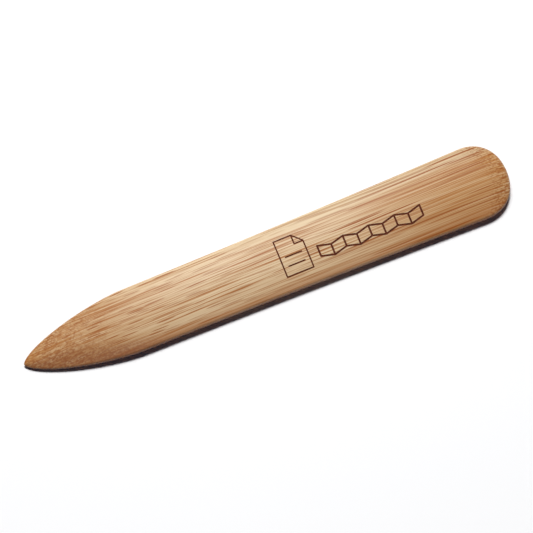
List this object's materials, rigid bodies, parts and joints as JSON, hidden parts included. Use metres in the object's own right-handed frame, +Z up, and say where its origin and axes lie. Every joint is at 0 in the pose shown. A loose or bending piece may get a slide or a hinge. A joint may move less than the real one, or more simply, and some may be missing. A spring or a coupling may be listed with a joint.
{
  "type": "bone folder",
  "caption": "Flat bamboo bone folder with a blunt pointed end, a broad round end, rounded long edges and a burnt line drawing of folded paper on its upper face.",
  "frame": {"origin": "middle of the blade's length and width, on the surface that the flat underside rests on", "axes": "+X along the blade towards the broad round end, +Y across its width, +Z up out of the marked face"},
  "size_m": [0.16, 0.0236, 0.005],
  "materials": {
    "bamboo": "sanded bamboo with reddish-brown lengthwise fibre lines, satin",
    "charred_bamboo": "dark brown laser-burnt bamboo, matt"
  },
  "bodies": {
    "root": {"bamboo_blade": "bamboo", "burnt_mark": "charred_bamboo"}
  },
  "joints": []
}
